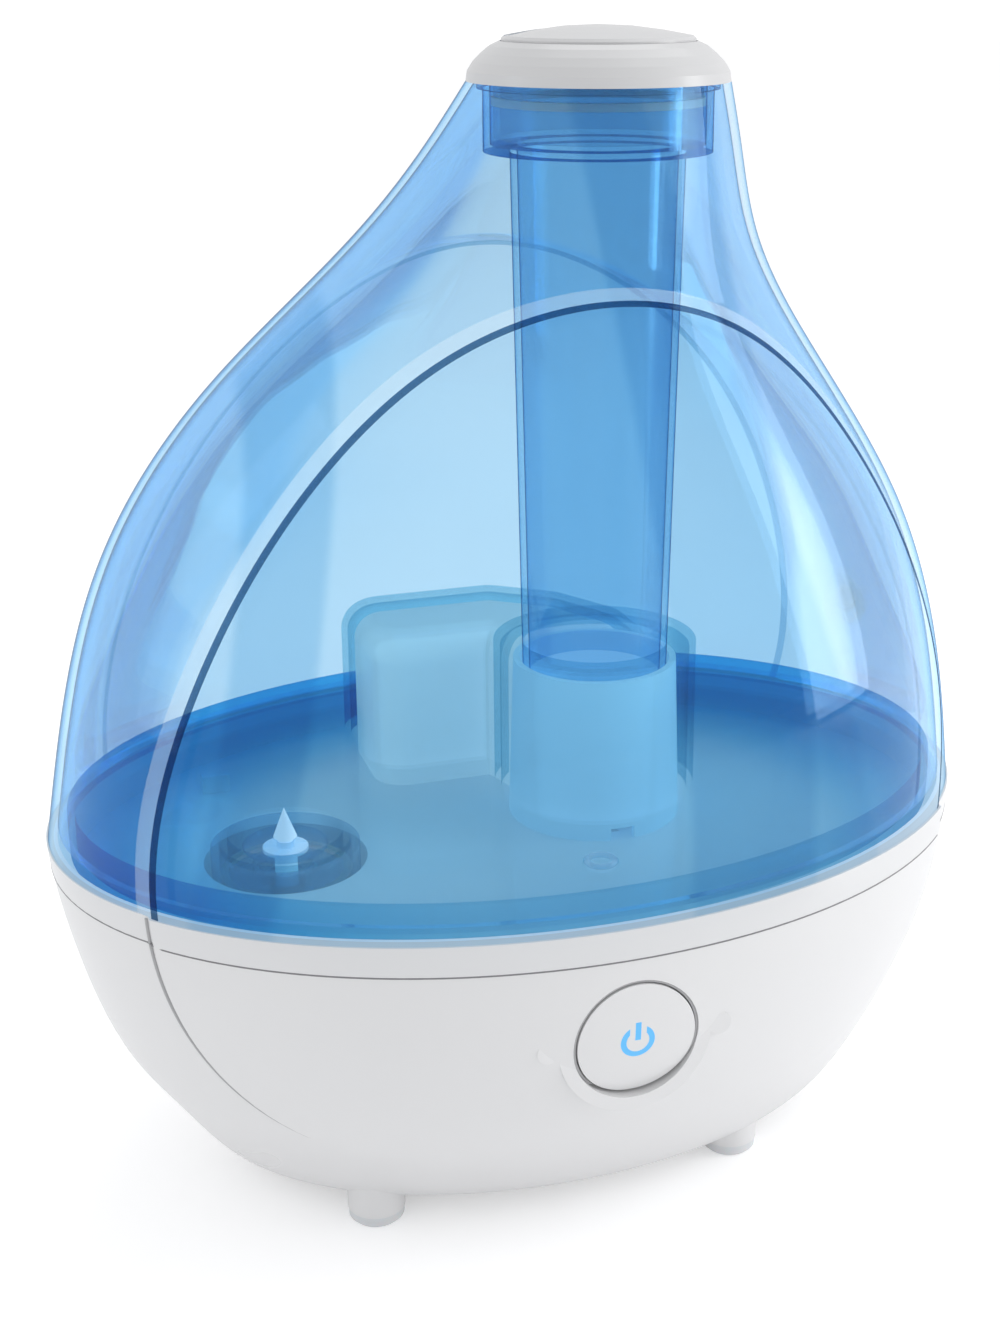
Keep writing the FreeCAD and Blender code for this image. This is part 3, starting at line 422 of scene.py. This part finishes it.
def painted_reflection_bands(tree, extra):
    """Painted reflection stripes, upright on the front wall: two add filter thickness and paint it darker,
    one takes filter away and paints it lighter.
    """
    place = axes(tree)
    height = math_node(tree, "SUBTRACT", place["Z"], seam_z)
    total = 0.0
    for middle_x, half_wide, lean, weight in PAINTED_REFLECTION_BANDS:
        centre = math_node(tree, "MULTIPLY_ADD", height, lean, middle_x)
        away = math_node(tree, "ABSOLUTE", math_node(tree, "SUBTRACT", place["X"], centre))
        inside = smooth_ramp(tree, away, half_wide, half_wide - PAINTED_BAND_EDGE)
        total = math_node(tree, "MULTIPLY_ADD", inside, weight, total)
    front = math_node(tree, "LESS_THAN", place["Y"], 0.0)
    return math_node(tree, "MULTIPLY", math_node(tree, "MULTIPLY", total, front), extra)


def squares(tree, across, back):
    """The sum of two squares."""
    return math_node(tree, "ADD", math_node(tree, "POWER", across, 2.0), math_node(tree, "POWER", back, 2.0))


def painted_rim_shade(tree, extra):
    """Painted shade on the pan: 1 over its middle, growing by extra towards its left, right and back edge."""
    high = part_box("tank_bottom")[1]
    place = axes(tree)
    across = math_node(tree, "DIVIDE", place["X"], high.x)
    from_middle = math_node(tree, "ADD", place["Y"], RIM_SHADE_FORWARD)
    back = math_node(tree, "DIVIDE", from_middle, high.y + RIM_SHADE_FORWARD)
    shade_growth = smooth_ramp(tree, squares(tree, across, back), RIM_SHADE_START, 1.0, extra)
    low = math_node(tree, "LESS_THAN", place["Z"], seam_z + RIM_SHADE_TOP)
    return math_node(tree, "MULTIPLY_ADD", shade_growth, low, 1.0)


def clear(
    name, tint, shine=1.0, outline_shade=90.0, top_gloss=0.22, shadow=0.15, rough=0.03, wave=0.0002,
    rim_shade=0.0, frost=0.0, painted_bands=0.0,
):
    """Clear tinted plastic. Each surface filters light: a little more on a slant, where light crosses more of
    the wall, and much more at its outline, a painted dark outline.

    Light that only falls through it is filtered less, as if it also came in from the sides.
    """
    made, tree, output = material(name)
    facing = tree.nodes.new("ShaderNodeLayerWeight").outputs["Facing"]
    slant = math_node(tree, "MULTIPLY", math_node(tree, "POWER", facing, SLANT_POWER), SLANT_SHARE)
    # Painted dark outline: the filter deepens steeply over the last few degrees before the outline
    outline = math_node(tree, "MULTIPLY", math_node(tree, "POWER", facing, OUTLINE_SHADE_POWER), outline_shade)
    path_and_painted_outline = math_node(tree, "ADD", math_node(tree, "ADD", slant, outline), 1.0)
    thickness_and_painted_bands = between(tree, noise(tree, 14, 2.0), 0.95, 1.05)
    # Painted reflection stripes: darker and lighter upright stripes added to the front wall's filter
    if painted_bands:
        thickness_and_painted_bands = math_node(tree, "ADD", thickness_and_painted_bands, painted_reflection_bands(tree, painted_bands))
    ray = tree.nodes.new("ShaderNodeLightPath")
    falling = math_node(tree, "MAXIMUM", ray.outputs["Is Shadow Ray"], ray.outputs["Is Diffuse Ray"])
    share = math_node(tree, "MULTIPLY_ADD", falling, shadow - 1.0, 1.0)
    filter_length_with_painted_light = math_node(tree, "MULTIPLY", math_node(tree, "MULTIPLY", path_and_painted_outline, thickness_and_painted_bands), share)
    # Painted shade: the pan's filter deepens towards its left, right and back edge
    if rim_shade:
        filter_length_with_painted_light = math_node(tree, "MULTIPLY", filter_length_with_painted_light, painted_rim_shade(tree, rim_shade))
    colour = tree.nodes.new("ShaderNodeCombineColor")
    for channel, value in zip(("Red", "Green", "Blue"), tint):
        tree.links.new(math_node(tree, "POWER", value, filter_length_with_painted_light), colour.inputs[channel])
    through = tree.nodes.new("ShaderNodeBsdfTransparent")
    tree.links.new(colour.outputs[0], through.inputs["Color"])
    gloss = tree.nodes.new("ShaderNodeBsdfGlossy")
    gloss.inputs["Color"].default_value = (0.62 * shine, 0.84 * shine, shine, 1)
    gloss.inputs["Roughness"].default_value = rough
    tree.links.new(bump(tree, noise(tree, 60, 1.0), 0.2, wave), gloss.inputs["Normal"])
    edge = tree.nodes.new("ShaderNodeFresnel")
    edge.inputs["IOR"].default_value = PLASTIC_IOR
    shown_gloss = math_node(tree, "MINIMUM", edge.outputs[0], top_gloss)
    surface = mixed(tree, shown_gloss, through.outputs[0], gloss.outputs[0])
    if frost:
        haze = tree.nodes.new("ShaderNodeBsdfDiffuse")
        haze.inputs["Color"].default_value = (0.80, 0.92, 1.0, 1)
        surface = mixed(tree, frost, surface, haze.outputs[0])
    tree.links.new(surface, output.inputs["Surface"])
    return made


def outside_plain(made, colour, half_wide, half_deep):
    """Beyond an upright oval, a solid material takes another colour."""
    tree = made.node_tree
    shader = next(node for node in tree.nodes if node.type == "BSDF_PRINCIPLED")
    inside = shader.inputs["Base Color"].links[0].from_socket
    place = axes(tree)
    across = math_node(tree, "DIVIDE", place["X"], half_wide)
    back = math_node(tree, "DIVIDE", place["Y"], half_deep)
    beyond = math_node(tree, "GREATER_THAN", squares(tree, across, back), 1.0)
    mix = tree.nodes.new("ShaderNodeMix")
    mix.data_type = "RGBA"
    tree.links.new(beyond, mix.inputs["Factor"])
    tree.links.new(inside, mix.inputs["A"])
    mix.inputs["B"].default_value = (*colour, 1)
    tree.links.new(mix.outputs["Result"], shader.inputs["Base Color"])


BLUE = (0.785, 0.882, 0.938)
clear_blue = clear("clear_blue", BLUE)
# The shell's front wall carries the painted reflection stripes
shell_blue = clear("shell_blue", BLUE, 1.25, top_gloss=0.34, painted_bands=0.8)
tube_blue = clear("tube_blue", (0.735, 0.870, 0.945))
# The pan takes painted shade towards its left, right and back edge
pan_blue = clear("pan_blue", (0.755, 0.925, 0.98), 0.4, 0.0, 0.12, rim_shade=4.5)
# Painted highlight and painted shade: a pale frosted band for the panel steps and the floor mark, a dark line
# of shade on the front steps and a lighter one on the back
step_painted_highlight = clear("step_painted_highlight", (0.93, 0.97, 0.99), 1.0, 0.0, frost=0.2)
step_painted_shade = clear("step_painted_shade", (0.10, 0.20, 0.33), 0.6, 1.0, 0.2)
step_back_painted_shade = clear("step_back_painted_shade", (0.42, 0.62, 0.78), 0.6, 1.0, 0.2)
cap_blue = clear("cap_blue", (0.80, 0.90, 0.96), 0.8, 2.0, 0.2, frost=0.12)
SATIN = {"grain": 9, "grain_depth": 0.00005}
GLOSS = {**SATIN, "vary": 0.008, "Coat_Weight": 0.15, "Coat_Roughness": 0.12}
white = solid("white_gloss", (0.73, 0.73, 0.735), 0.3, **GLOSS)
# The nozzle's white: a darker copy of the white plastic, painted shade on the cap
white_cap_painted_shade = solid("white_cap_painted_shade", (0.60, 0.60, 0.605), 0.32, **GLOSS)
# Basin, valve cup and transducer cup: white plastic tinted blue with a faint glow, painted blue light from
# the tinted tank above them
basin_painted_blue_light = solid("basin_painted_blue_light", (0.76, 0.83, 0.90), 0.3, glow=0.06, **GLOSS)
# Frosted parts, the collar and the duct glow: painted light that brightens them inside the tank; the collar's
# white is also tinted blue, painted blue light
milky_painted_glow = solid("milky_plastic_painted_glow", (0.80, 0.89, 0.96), 0.4, vary=0.015, glow=0.3, **SATIN)
collar_painted_blue_glow = solid("collar_painted_blue_glow", (0.56, 0.76, 0.89), 0.4, vary=0.012, glow=0.24, **SATIN)
duct_painted_glow = solid("duct_painted_glow", (0.80, 0.81, 0.83), 0.4, vary=0.012, glow=0.34, **SATIN)
# Grey of the crease beads: painted shade in the creases of the base's panels
crease_painted_shade = solid("crease_painted_shade", (0.40, 0.40, 0.41), 0.4, **GLOSS)
groove_grey = solid("groove_grey", (0.20, 0.20, 0.21), 0.5, **GLOSS)
grey = solid("grey_trim", (0.42, 0.42, 0.43), 0.45)
symbol = solid("symbol_blue", (0.10, 0.42, 0.78), 0.35, glow=0.25)
silicone = solid("silicone", (0.66, 0.68, 0.70), 0.55, Subsurface_Weight=0.2, Subsurface_Scale=0.003)
spring_steel = solid("spring_steel", (0.60, 0.60, 0.61), 0.25, metal=1.0, stretch=(1, 1, 8))
screw_steel = solid("screw_steel", (0.56, 0.55, 0.52), 0.35, metal=1.0, vary=0.08)
silver = solid("piezo_silver", (0.75, 0.74, 0.71), 0.4, metal=1.0, vary=0.05)
foam = solid("float_foam", (0.78, 0.78, 0.75), 0.8, grain=1600, grain_depth=0.00015)
dark_metal = solid("dark_metal", (0.09, 0.09, 0.10), 0.5, metal=0.6, vary=0.15)
black = solid("black_plastic", (0.022, 0.022, 0.024), 0.45, vary=0.1)
board_green = solid("board_green", (0.02, 0.13, 0.06), 0.35, vary=0.25, stretch=(2, 2, 1))
aluminium = solid("aluminium", (0.62, 0.63, 0.65), 0.35, metal=1.0, stretch=(1, 1, 20))
nylon = solid("nylon", (0.72, 0.68, 0.58), 0.5)
clear_resin = clear("clear_resin", (0.90, 0.95, 0.97))
insulation = solid("insulation", (0.03, 0.03, 0.034), 0.55, vary=0.1)

# Beyond the basin's oval its painted blue tint gives way to a plain white-grey; the faint glow stays
outside_plain(basin_painted_blue_light, (0.66, 0.66, 0.665), 110.7 * MM, 78.6 * MM)

SLOT_LOOKS = {
    "clear_blue_plastic": clear_blue,
    # Frosted parts take the milky plastic with its painted glow
    "frosted_plastic": milky_painted_glow,
    "white_plastic": white,
    "grey_plastic": grey,
    "symbol_blue": symbol,
    "silicone": silicone,
    "spring_steel": spring_steel,
    "screw_steel": screw_steel,
    "piezo_silver": silver,
    "float_plastic": foam,
    "dark_metal": dark_metal,
    "black_plastic": black,
    "circuit_board": board_green,
    "heat_sink_aluminium": aluminium,
    "socket_plastic": nylon,
    "clear_led": clear_resin,
    "lead_insulation": insulation,
}

# Nodes whose look differs from the rest of their slot
NODE_LOOKS = {
    "tank_bottom": pan_blue, "basin": basin_painted_blue_light, "valve_cup": basin_painted_blue_light, "mist_collar": collar_painted_blue_glow,
    "air_duct": duct_painted_glow, "nozzle_ring": white_cap_painted_shade, "nozzle_disc": white_cap_painted_shade, "filler_cap": cap_blue,
    "nozzle_spigot": cap_blue, "valve_disc": clear_blue, "mist_tube": tube_blue,
    "transducer_cup": basin_painted_blue_light,
}


def dress_nodes():
    """Every CAD node gets its own look, or that of its slot."""
    for entry in frame["record"]["subparts"]:
        mesh = frame["nodes"][entry["node"]].data
        mesh.materials.clear()
        mesh.materials.append(NODE_LOOKS.get(entry["node"], SLOT_LOOKS[entry["material_slot"]]))


# ---------------------------------------------------------------- pieces

def make_tank_shell():
    """The clear shell: stepped panels outside, a plain inside, and a thick foot that holds the pan."""
    skin = Skin()
    # On the back panel the step's painted highlight becomes plain shell and its painted dark line a lighter
    # painted shade
    outer_skin(skin, tank_section, seam_z, rim_z, PANEL_PROFILE, {1: 0, 2: 3})
    pan_low, pan_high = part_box("tank_bottom")
    pan_a, pan_b = pan_high.x + 0.1 * MM, pan_high.y + 0.1 * MM
    ledge = seam_z + LEDGE_RISE
    levels = [(seam_z, 0, pan_a, pan_b), (ledge, 0, pan_a, pan_b)]
    levels += section_levels(tank_section, ledge + 0.6 * MM, rim_z, -WALL, 60)
    skin.grid(oval_rows(levels))
    # The shell, then the step's painted highlight, its painted shade at the front, and its lighter painted
    # shade at the back
    shell = skin.piece("tank_shell_clear", "tank", [shell_blue, step_painted_highlight, step_painted_shade, step_back_painted_shade])
    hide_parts("tank_shell")


def tube_along(name, points, radius, body, looks, sides=10, closed=False):
    """A round wire or bead that follows a list of points."""
    skin = Skin()
    count = len(points)
    rows = []
    for i, point in enumerate(points):
        before = points[i - 1] if i or closed else points[0]
        after = points[(i + 1) % count] if i < count - 1 or closed else points[-1]
        ahead = (after - before).normalized()
        upright = abs(ahead.z) > 0.9
        out = (ahead.orthogonal() if upright else ahead.cross(Vector((0, 0, 1)))).normalized()
        up = out.cross(ahead)
        turns = [2 * math.pi * k / sides for k in range(sides + 1)]
        rows.append([point + radius * (out * math.cos(t) + up * math.sin(t)) for t in turns])
    if closed:
        rows.append(rows[0])
    skin.grid(rows)
    if not closed:
        for row in (rows[0], rows[-1]):
            middle_of = sum(row[:-1], Vector()) / sides
            skin.grid([row, [middle_of] * (sides + 1)])
    return skin.piece(name, body, looks, 60)


def skin_tree(*nodes):
    """Search trees of CAD nodes' surfaces."""
    trees = []
    for node in nodes:
        mesh = frame["nodes"][node].data
        trees.append(BVHTree.FromPolygons([v.co for v in mesh.vertices], [p.vertices for p in mesh.polygons]))
    return trees


def first_hit(trees, start, direction):
    """Where a ray first meets any of the surfaces."""
    hits = [tree.ray_cast(start, direction) for tree in trees]
    return min((hit for hit in hits if hit[0]), key=lambda hit: hit[3])[0]


def make_base_lines():
    """Soft beads in the creases of the base's front and back panels, grey as painted shade along the creases,
    and the line where its halves meet.
    """
    trees = skin_tree("base_housing", "basin")
    for name, side in (("front", -1), ("back", 1)):
        first = math.pi - egg_turn(seam_z - BELOW_SEAM, 0)
        last = 2 * math.pi + egg_turn(seam_z - BELOW_SEAM, 0)
        points = []
        for k in range(CREASE_STEPS + 1):
            x, z = egg(first + (last - first) * k / CREASE_STEPS, CREASE_OUT)
            points.append(first_hit(trees, Vector((x, side * OUT_OF_BODY, z)), Vector((0, -side, 0))))
        bead = tube_along("base_crease_" + name, points, CREASE_R, "base", [crease_painted_shade], 8)
    points = []
    for k in range(PARTING_STEPS):
        turn = 2 * math.pi * k / PARTING_STEPS
        away = Vector((math.cos(turn), math.sin(turn), 0))
        start = OUT_OF_BODY * away + Vector((0, 0, parting_z - PARTING_IN))
        points.append(first_hit(trees, start, -away))
    inset = [point - PARTING_IN * Vector((point.x, point.y, 0)).normalized() for point in points]
    line = tube_along("parting_line", inset, PARTING_R, "base", [groove_grey], 6, closed=True)


def make_mark_ring():
    """The rounded lip of the small round mark on the tank's floor, pale and frosted as a painted highlight.
    """
    x, y, z = MARK_PLACE
    turns = [2 * math.pi * k / 48 for k in range(48)]
    points = [Vector((x + MARK_R * math.cos(t), y + MARK_R * math.sin(t), z)) for t in turns]
    lip = tube_along("floor_mark_lip", points, MARK_LIP_R, "tank", [step_painted_highlight], 12, closed=True)


def make_valve_spring():
    """A closed-end coil spring between the filler cap and the flange of the valve's stem."""
    low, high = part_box("valve_spring")
    x, y = (low.x + high.x) / 2, (low.y + high.y) / 2
    radius = (high.x - low.x) / 2 - SPRING_WIRE
    base, top = low.z + SPRING_WIRE, high.z - SPRING_WIRE
    count = int(SPRING_TURNS * SPRING_STEPS)
    points = []
    for i in range(count + 1):
        turned = SPRING_TURNS * i / count
        rise = min(1.0, max(0.0, (turned - SPRING_CLOSED) / (SPRING_TURNS - 2 * SPRING_CLOSED)))
        angle = 2 * math.pi * turned
        z = base + (top - base) * rise
        points.append(Vector((x + radius * math.cos(angle), y + radius * math.sin(angle), z)))
    spring = tube_along("valve_spring_coil", points, SPRING_WIRE, None, [spring_steel])
    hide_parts("valve_spring")
    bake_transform(spring)


# ---------------------------------------------------------------- stage

FLOOR_HALF = 6.0
# What the paper gives off to the scene, and how much more of it the camera sees
FLOOR_GLOW, FLOOR_SEEN = 0.19, 0.14
ROOM_LOW, ROOM_HIGH, ROOM_SEEN = (0.82, 0.82, 0.83, 1), (0.80, 0.81, 0.82, 1), 1.1
AIM = (0, 0, 0.12)
# Name, place, width, height, watts
LAMPS = (
    ("softbox_right", (0.9, -0.35, 0.45), 0.35, 0.9, 3.6),
    ("softbox_left", (-0.9, 0.1, 0.5), 0.25, 0.9, 0.6),
    ("softbox_top", (0.3, 0.4, 1.2), 0.9, 0.9, 2.6),
)
CAMERA_PLACE = (-0.1329, -0.4241, 0.2854)
CAMERA_DOWN, CAMERA_TURN = 18.456, -18.709
CAMERA_LENS, CAMERA_SHIFT = 52.73, (-0.0408, -0.0447)


def make_floor():
    """A wide sheet of white paper, a little luminous so that only contact shadows show on it."""
    made, tree, output = material("floor_paper")
    shader = tree.nodes.new("ShaderNodeBsdfDiffuse")
    paper = shades(tree, noise(tree, 6), (0.84, 0.84, 0.845), (0.86, 0.86, 0.865))
    tree.links.new(paper, shader.inputs["Color"])
    glow = tree.nodes.new("ShaderNodeEmission")
    seen = tree.nodes.new("ShaderNodeLightPath").outputs["Is Camera Ray"]
    tree.links.new(math_node(tree, "MULTIPLY_ADD", seen, FLOOR_SEEN, FLOOR_GLOW), glow.inputs["Strength"])
    both = tree.nodes.new("ShaderNodeAddShader")
    tree.links.new(shader.outputs[0], both.inputs[0])
    tree.links.new(glow.outputs[0], both.inputs[1])
    tree.links.new(both.outputs[0], output.inputs["Surface"])
    mesh = bpy.data.meshes.new("floor")
    corners = [(x * FLOOR_HALF, y * FLOOR_HALF, 0) for x, y in ((-1, -1), (1, -1), (1, 1), (-1, 1))]
    mesh.from_pydata(corners, [], [(0, 1, 2, 3)])
    mesh.materials.append(made)
    floor = bpy.data.objects.new("floor", mesh)
    bpy.context.scene.collection.objects.link(floor)


def make_world():
    """An even white room: seen as plain white, mirrored and received as a soft gradient."""
    world = bpy.data.worlds.new("studio")
    bpy.context.scene.world = world
    world.use_nodes = True
    tree = world.node_tree
    tree.nodes.clear()
    output = tree.nodes.new("ShaderNodeOutputWorld")
    light = tree.nodes.new("ShaderNodeBackground")
    place = tree.nodes.new("ShaderNodeTexCoord")
    split = tree.nodes.new("ShaderNodeSeparateXYZ")
    tree.links.new(place.outputs["Generated"], split.inputs[0])
    ramp = tree.nodes.new("ShaderNodeValToRGB")
    ramp.color_ramp.elements[0].position = 0.05
    ramp.color_ramp.elements[0].color = ROOM_LOW
    ramp.color_ramp.elements[1].position = 0.9
    ramp.color_ramp.elements[1].color = ROOM_HIGH
    tree.links.new(split.outputs["Z"], ramp.inputs[0])
    tree.links.new(ramp.outputs[0], light.inputs["Color"])
    seen = tree.nodes.new("ShaderNodeBackground")
    seen.inputs["Color"].default_value = (1, 1, 1, 1)
    seen.inputs["Strength"].default_value = ROOM_SEEN
    camera_ray = tree.nodes.new("ShaderNodeLightPath").outputs["Is Camera Ray"]
    room = mixed(tree, camera_ray, light.outputs[0], seen.outputs[0])
    tree.links.new(room, output.inputs["Surface"])


def make_lamp(name, place, width, height, power):
    """A softbox that faces the middle of the object."""
    lamp = bpy.data.lights.new(name, "AREA")
    lamp.shape = "RECTANGLE"
    lamp.size, lamp.size_y, lamp.energy = width, height, power
    item = bpy.data.objects.new(name, lamp)
    item.location = place
    item.rotation_euler = (Vector(AIM) - Vector(place)).to_track_quat("-Z", "Y").to_euler()
    bpy.context.scene.collection.objects.link(item)


def make_camera():
    """The camera at the front left, looking down on the object."""
    camera = bpy.data.cameras.new("camera")
    camera.sensor_width = 36.0
    camera.lens = CAMERA_LENS
    camera.shift_x, camera.shift_y = CAMERA_SHIFT
    camera.clip_start, camera.clip_end = 0.01, 50
    item = bpy.data.objects.new("camera", camera)
    item.location = CAMERA_PLACE
    item.rotation_euler = (math.radians(90 - CAMERA_DOWN), 0, math.radians(CAMERA_TURN))
    bpy.context.scene.collection.objects.link(item)
    bpy.context.scene.camera = item


make_camera()
make_floor()
make_world()
for lamp_values in LAMPS:
    make_lamp(*lamp_values)
bpy.context.scene.view_settings.view_transform = "Standard"
bpy.context.scene.cycles.transparent_max_bounces = 40

dress_nodes()
make_tank_shell()
make_valve_spring()
make_mark_ring()
make_base_lines()
